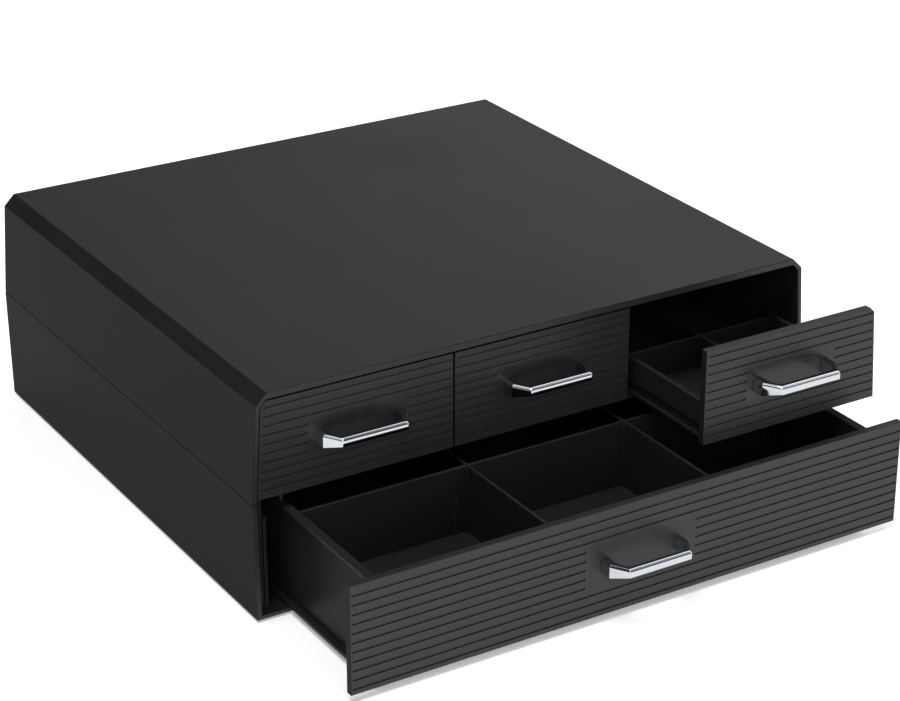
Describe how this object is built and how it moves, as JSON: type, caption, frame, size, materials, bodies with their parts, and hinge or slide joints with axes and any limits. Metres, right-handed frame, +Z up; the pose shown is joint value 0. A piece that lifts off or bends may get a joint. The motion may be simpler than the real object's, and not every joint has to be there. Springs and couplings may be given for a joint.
{
  "type": "coffee pod drawer",
  "caption": "Storage case for coffee pods: a full-width drawer under a row of small drawers, with dividers, grooved fronts and chrome handles; a coffee maker stands on its flat top.",
  "frame": {"origin": "middle of the flat underside of the case, above the rubber feet", "axes": "+Z up; -Y is the front, the way the drawers pull out; +X is to the right seen from the front"},
  "size_m": [0.36, 0.4425, 0.1325],
  "materials": {
    "case_shell": "satin black moulded ABS, fine even texture",
    "drawer_front": "satin black moulded ABS with sharp horizontal grooves",
    "inner_plastic": "semi-matt black moulded plastic",
    "handle_chrome": "bright chrome plate, faceted",
    "screw_steel": "zinc-plated steel",
    "foot_rubber": "matt black rubber"
  },
  "bodies": {
    "case": {"lower_case": "case_shell", "upper_case": "case_shell", "deck": "inner_plastic", "partition_left": "inner_plastic", "partition_right": "inner_plastic", "rail_left": "inner_plastic", "rail_right": "inner_plastic", "case_screws": "screw_steel", "feet": "foot_rubber"},
    "wide_drawer": {"wide_front": "drawer_front", "wide_tray": "inner_plastic", "wide_divider_left": "inner_plastic", "wide_divider_right": "inner_plastic", "wide_cross_front": "inner_plastic", "wide_cross_rear": "inner_plastic", "wide_handle": "handle_chrome", "wide_handle_screws": "screw_steel"},
    "left_drawer": {"left_front": "drawer_front", "left_tray": "inner_plastic", "left_divider": "inner_plastic", "left_cross": "inner_plastic", "left_handle": "handle_chrome", "left_handle_screws": "screw_steel"},
    "middle_drawer": {"middle_front": "drawer_front", "middle_tray": "inner_plastic", "middle_divider": "inner_plastic", "middle_cross": "inner_plastic", "middle_handle": "handle_chrome", "middle_handle_screws": "screw_steel"},
    "right_drawer": {"right_front": "drawer_front", "right_tray": "inner_plastic", "right_divider": "inner_plastic", "right_cross": "inner_plastic", "right_handle": "handle_chrome", "right_handle_screws": "screw_steel"}
  },
  "joints": [
    {"name": "wide_slide", "type": "slide", "parent": "case", "child": "wide_drawer", "axis": [0, -1, 0], "range_m": [-0.095, 0.12]},
    {"name": "left_slide", "type": "slide", "parent": "case", "child": "left_drawer", "axis": [0, -1, 0], "range_m": [0, 0.2]},
    {"name": "middle_slide", "type": "slide", "parent": "case", "child": "middle_drawer", "axis": [0, -1, 0], "range_m": [0, 0.2]},
    {"name": "right_slide", "type": "slide", "parent": "case", "child": "right_drawer", "axis": [0, -1, 0], "range_m": [-0.069, 0.131]}
  ]
}
